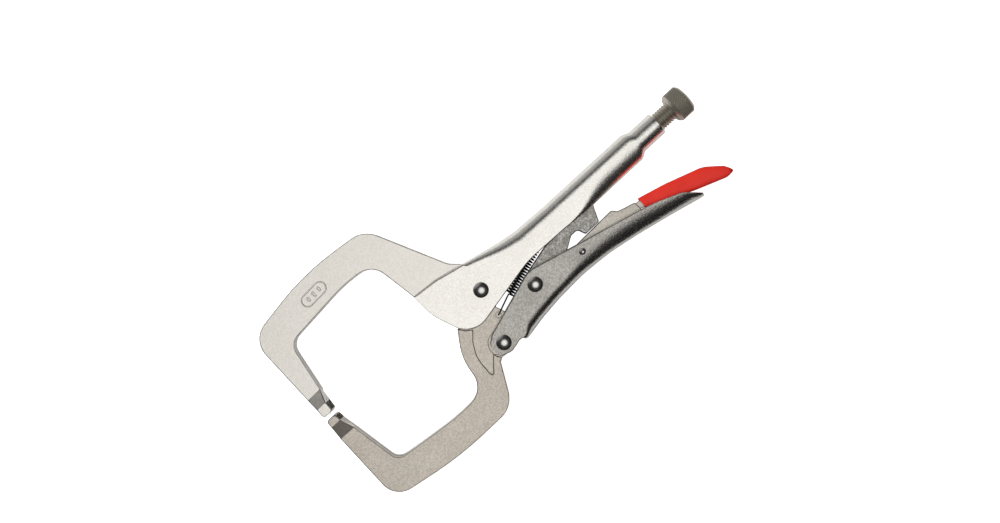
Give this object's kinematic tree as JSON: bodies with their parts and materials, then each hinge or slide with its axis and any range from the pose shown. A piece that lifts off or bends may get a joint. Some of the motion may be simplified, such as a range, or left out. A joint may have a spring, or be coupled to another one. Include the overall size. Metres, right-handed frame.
{
  "type": "locking C-clamp pliers",
  "caption": "Locking pliers with wide C-shaped jaws, a toggle link, an adjusting screw with knurled knob and a red-sleeved release lever, locked with the tips nearly closed.",
  "frame": {"origin": "centre of the fixed jaw's clamping face, at mid thickness", "axes": "+X from the jaw tips to the screw knob, parallel to the adjusting screw; +Y towards the fixed jaw; +Z through the thickness, up when the pliers lie flat on their side"},
  "size_m": [0.2816, 0.1378, 0.0186],
  "materials": {
    "nickel_handle": "satin nickel plate on folded sheet steel",
    "nickel_jaw": "satin nickel plate on forged steel",
    "link_steel": "blasted and plated, dull",
    "screw_steel": "plated, rolled thread and knurl",
    "rivet_steel": "polished domed heads",
    "spring_steel": "blackened music wire",
    "red_vinyl": "dipped vinyl, soft gloss"
  },
  "bodies": {
    "fixed_frame": {"fixed_handle": "nickel_handle", "fixed_jaw": "nickel_jaw", "jaw_pivot_rivet": "rivet_steel", "return_spring": "spring_steel"},
    "moving_jaw": {"moving_jaw": "nickel_jaw"},
    "lower_handle": {"lower_handle": "nickel_handle", "handle_pivot_rivet": "rivet_steel", "link_pivot_rivet": "rivet_steel", "release_lever_rivet": "rivet_steel"},
    "toggle_link": {"toggle_link": "link_steel"},
    "release_lever": {"release_lever": "nickel_handle", "release_lever_sleeve": "red_vinyl"},
    "screw_ring": {"screw_retaining_ring": "spring_steel"},
    "adjusting_screw": {"adjusting_screw": "screw_steel"}
  },
  "joints": [
    {"name": "jaw_swing", "type": "hinge", "parent": "fixed_frame", "child": "moving_jaw", "pos_m": [0.1148, -0.0068, 0], "axis": [0, 0, 1], "range_deg": [0, 28], "deforming": ["return_spring"]},
    {"name": "handle_swing", "type": "hinge", "parent": "moving_jaw", "child": "lower_handle", "pos_m": [0.104, -0.038, 0], "axis": [0, 0, 1], "range_deg": [-71.1, 0]},
    {"name": "link_swing", "type": "hinge", "parent": "lower_handle", "child": "toggle_link", "pos_m": [0.14, -0.0256, 0], "axis": [0, 0, 1], "range_deg": [0, 76]},
    {"name": "release_lever_swing", "type": "hinge", "parent": "lower_handle", "child": "release_lever", "pos_m": [0.1729, -0.0304, 0], "axis": [0, 0, 1], "range_deg": [-0.3, 0.8]},
    {"name": "screw_feed", "type": "slide", "parent": "fixed_frame", "child": "screw_ring", "axis": [1, 0, 0], "range_m": [0, 0.014]},
    {"name": "screw_turn", "type": "hinge", "parent": "screw_ring", "child": "adjusting_screw", "pos_m": [0.24, -0.0049, 0], "axis": [1, 0, 0], "range_deg": [0, 2880]}
  ],
  "couplings": [
    {"joint": "handle_swing", "follows": "jaw_swing", "ratio": -2.5362},
    {"joint": "link_swing", "follows": "jaw_swing", "ratio": 2.7108},
    {"joint": "screw_turn", "follows": "screw_feed", "rad_per_m": 3590.4}
  ]
}
